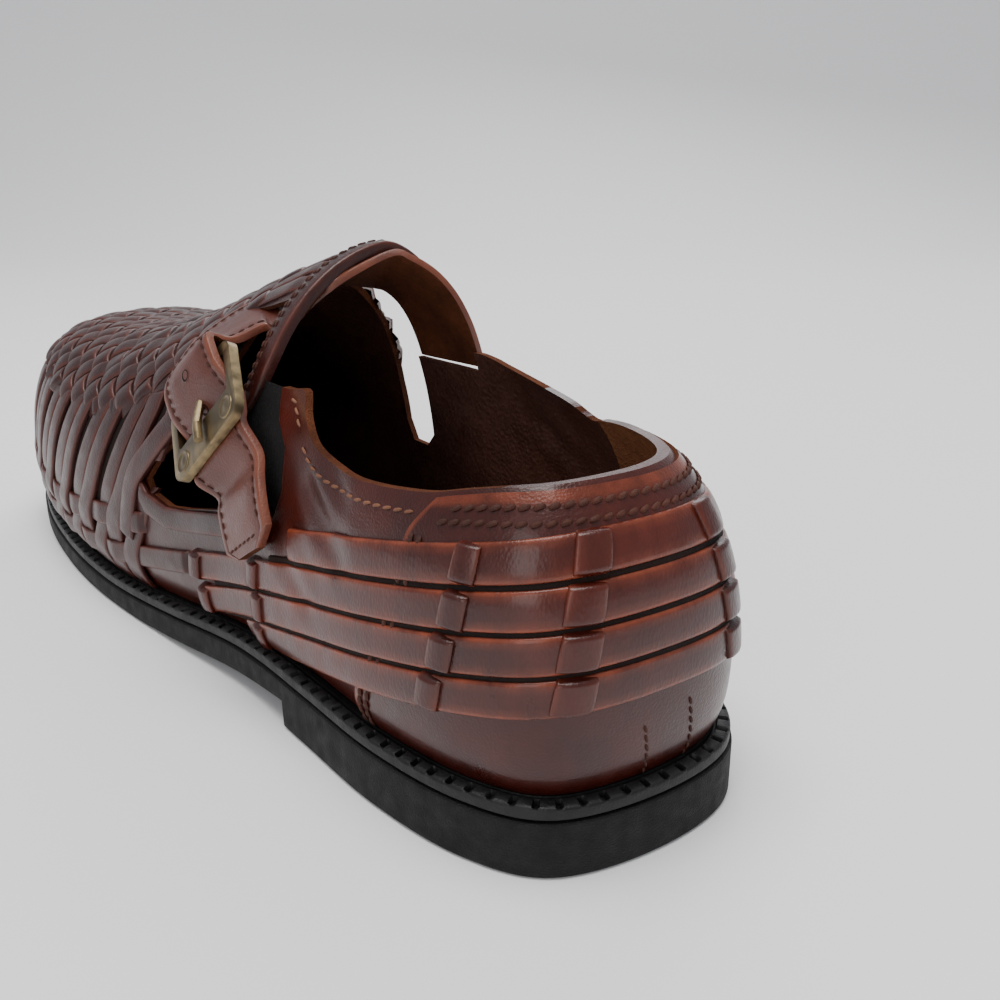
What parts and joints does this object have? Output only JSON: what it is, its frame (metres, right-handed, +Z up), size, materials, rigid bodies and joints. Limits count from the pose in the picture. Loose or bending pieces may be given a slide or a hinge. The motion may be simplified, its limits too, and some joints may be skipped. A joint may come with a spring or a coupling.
{
  "type": "huarache sandal",
  "caption": "Closed-toe woven leather sandal for the left foot with an open throat, a buckled instep strap, an enclosed heel and a low rubber sole.",
  "frame": {"origin": "middle of the footprint's bounding box, on the floor", "axes": "+Z up, +Y towards the heel, -Y towards the toe, +X towards the outer (lateral) side of the left foot"},
  "size_m": [0.0982, 0.3012, 0.106],
  "materials": {
    "outsole_rubber": "matte black moulded rubber",
    "welt_rubber": "satin black moulded rubber with a notched rim",
    "insole_leather": "dark brown matte lining leather",
    "upper_leather": "glossy reddish-brown dyed leather",
    "band_leather": "glossy reddish-brown dyed leather, double stitched",
    "strap_leather": "reddish-brown dyed leather, edge stitched",
    "gore_elastic": "black ribbed elastic",
    "buckle_brass": "antique brass, worn bright on the edges",
    "prong_brass": "antique brass, worn bright"
  },
  "bodies": {
    "root": {"outsole": "outsole_rubber", "welt": "welt_rubber", "insole": "insole_leather", "upper": "upper_leather", "counter_band": "band_leather", "strap": "strap_leather", "elastic_gore": "gore_elastic", "buckle_frame": "buckle_brass", "buckle_prong": "prong_brass"}
  },
  "joints": []
}
